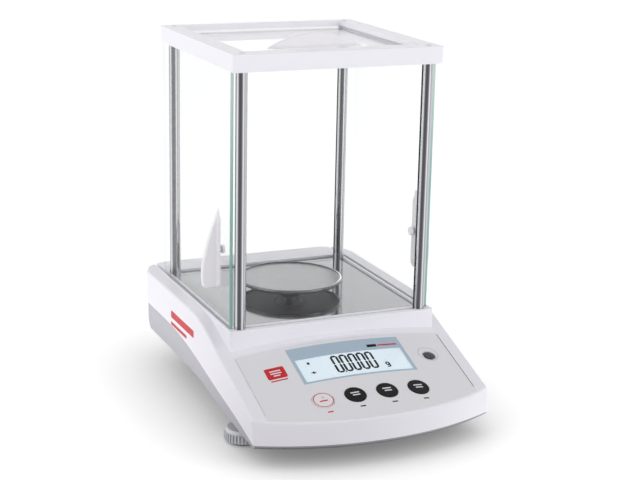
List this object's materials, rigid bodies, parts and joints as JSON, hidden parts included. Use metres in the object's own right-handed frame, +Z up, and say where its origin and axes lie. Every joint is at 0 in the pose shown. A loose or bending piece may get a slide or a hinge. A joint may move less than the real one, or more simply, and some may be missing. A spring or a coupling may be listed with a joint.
{
  "type": "analytical balance",
  "caption": "Bench balance with a sloped console, round weighing pan and a glass draft shield with sliding side and top doors.",
  "frame": {"origin": "ground under the middle of the balance's footprint", "axes": "+Z up, -Y towards the front with the display and keys, +X to the balance's right as seen from the front"},
  "size_m": [0.209, 0.317, 0.31],
  "materials": {
    "white_plastic": "satin moulded",
    "handle_plastic": "satin",
    "grey_base": "fine texture",
    "overlay": "fine matt film",
    "bezel": "printed film",
    "window": "clear",
    "lcd": "lit panel",
    "black_key": "matt",
    "white_key": "matt",
    "steel": "fine brushed",
    "chrome": "polished",
    "glass": "clear with green edges",
    "screw_steel": "turned",
    "rubber": "moulded",
    "wheel_plastic": "ribbed",
    "aluminium": "machined",
    "iron": "plated",
    "copper": "wound wire",
    "board": "circuit board",
    "ribbon": "flat cable",
    "socket_black": "moulded",
    "vial": "filled vial",
    "label": "printed plate"
  },
  "bodies": {
    "housing": {"top_housing": "white_plastic", "base_casting": "grey_base", "housing_screws": "screw_steel", "floor_plate": "steel", "draft_ring": "steel", "front_left_post": "chrome", "rear_left_post": "chrome", "front_right_post": "chrome", "rear_right_post": "chrome", "front_glass": "glass", "rear_glass": "glass", "top_frame": "white_plastic", "frame_screws": "screw_steel", "console_overlay": "overlay", "display_bezel": "bezel", "display_window": "window", "lcd_module": "lcd", "display_board": "board", "key_domes": "rubber", "level_vial": "vial", "level_cup": "socket_black", "cell_mount": "aluminium", "load_cell": "aluminium", "pan_carrier": "aluminium", "magnet_pot": "iron", "drive_coil": "copper", "coil_lever": "aluminium", "weighing_hook": "screw_steel", "cover_screw": "screw_steel", "main_board": "board", "board_standoffs": "copper", "ribbon_cable": "ribbon", "power_socket": "socket_black", "serial_port": "socket_black", "data_plate": "label", "rear_feet": "rubber"},
    "left_door": {"left_door_glass": "glass", "left_door_handle": "handle_plastic", "left_handle_screw": "handle_plastic"},
    "right_door": {"right_door_glass": "glass", "right_door_handle": "handle_plastic", "right_handle_screw": "handle_plastic"},
    "top_door": {"top_door_glass": "glass", "top_door_handle": "handle_plastic", "top_door_trim": "white_plastic"},
    "on_key": {"on_key": "white_key"},
    "print_key": {"print_key": "black_key"},
    "function_key": {"function_key": "black_key"},
    "tare_key": {"tare_key": "black_key"},
    "weighing_pan": {"pan": "steel", "pan_hub": "chrome"},
    "left_foot": {"left_levelling_wheel": "wheel_plastic", "left_foot_pad": "rubber"},
    "right_foot": {"right_levelling_wheel": "wheel_plastic", "right_foot_pad": "rubber"},
    "hook_cover": {"hook_cover": "socket_black"}
  },
  "joints": [
    {"name": "left_door_slide", "type": "slide", "parent": "housing", "child": "left_door", "axis": [0, 1, 0], "range_m": [0, 0.125]},
    {"name": "right_door_slide", "type": "slide", "parent": "housing", "child": "right_door", "axis": [0, 1, 0], "range_m": [0, 0.125]},
    {"name": "top_door_slide", "type": "slide", "parent": "housing", "child": "top_door", "axis": [0, 1, 0], "range_m": [0, 0.11]},
    {"name": "on_key_press", "type": "slide", "parent": "housing", "child": "on_key", "axis": [0, 0.3261, -0.9453], "range_m": [0, 0.0008], "stiffness_N_per_m": 1500},
    {"name": "print_key_press", "type": "slide", "parent": "housing", "child": "print_key", "axis": [0, 0.3261, -0.9453], "range_m": [0, 0.0008], "stiffness_N_per_m": 1500},
    {"name": "function_key_press", "type": "slide", "parent": "housing", "child": "function_key", "axis": [0, 0.3261, -0.9453], "range_m": [0, 0.0008], "stiffness_N_per_m": 1500},
    {"name": "tare_key_press", "type": "slide", "parent": "housing", "child": "tare_key", "axis": [0, 0.3261, -0.9453], "range_m": [0, 0.0008], "stiffness_N_per_m": 1500},
    {"name": "pan_lift", "type": "slide", "parent": "housing", "child": "weighing_pan", "axis": [0, 0, 1], "range_m": [0, 0.05]},
    {"name": "left_foot_turn", "type": "hinge", "parent": "housing", "child": "left_foot", "pos_m": [-0.089, -0.08, 0], "axis": [0, 0, 1], "range_deg": [-720, 720]},
    {"name": "right_foot_turn", "type": "hinge", "parent": "housing", "child": "right_foot", "pos_m": [0.089, -0.08, 0], "axis": [0, 0, 1], "range_deg": [-720, 720]},
    {"name": "hook_cover_turn", "type": "hinge", "parent": "housing", "child": "hook_cover", "pos_m": [0, 0.0605, 0.028], "axis": [0, 0, 1], "range_deg": [0, 150]}
  ]
}
